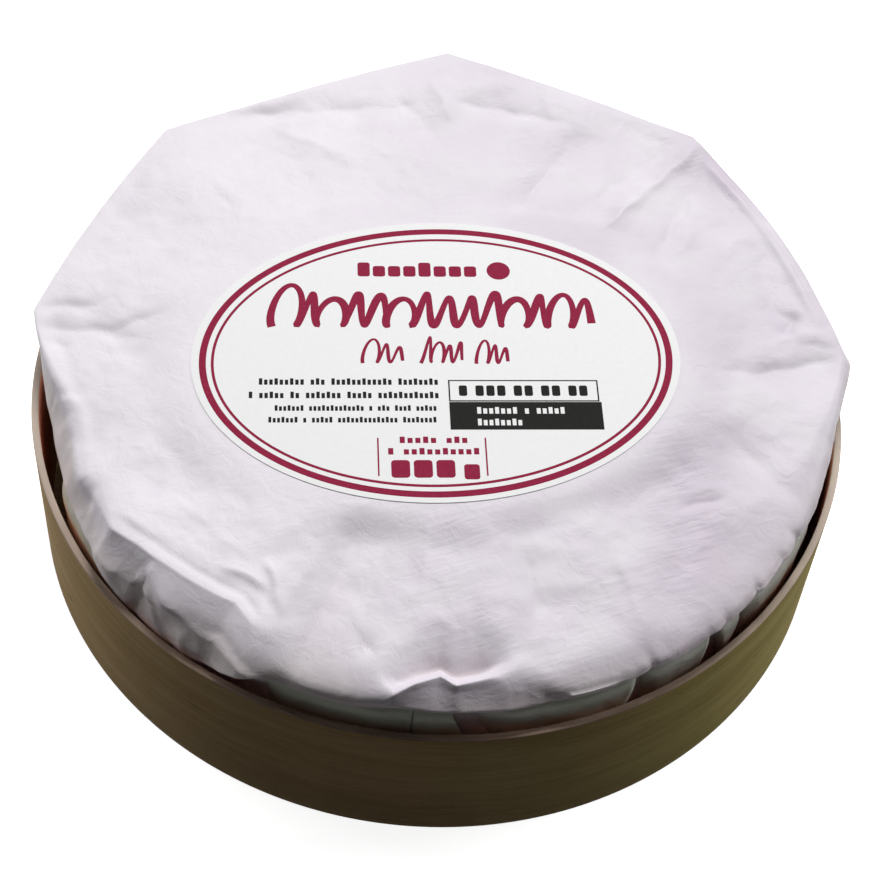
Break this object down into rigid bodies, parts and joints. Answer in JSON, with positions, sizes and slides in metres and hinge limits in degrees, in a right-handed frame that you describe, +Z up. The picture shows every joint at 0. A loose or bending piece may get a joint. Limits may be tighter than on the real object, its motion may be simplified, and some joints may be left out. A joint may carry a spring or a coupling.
{
  "type": "coulommiers cheese in its box",
  "caption": "Soft round cheese shut in folded white paper with a plain oval label, sitting in a low round box of bent thin wood without its lid.",
  "frame": {"origin": "middle of the round box's underside, where its axis meets the surface that it stands on", "axes": "+Z up along the box's axis, -Y towards the front, +X to the right along the label's longer side"},
  "size_m": [0.1374, 0.1412, 0.0362],
  "materials": {
    "poplar_hoop": "bare sliced veneer",
    "poplar_base": "bare sliced veneer",
    "cheese_paper": "soft sheen waxed paper",
    "label_paper": "printed paper"
  },
  "bodies": {
    "root": {"box_hoop": "poplar_hoop", "box_base": "poplar_base", "wrapped_cheese": "cheese_paper", "label": "label_paper"}
  },
  "joints": []
}
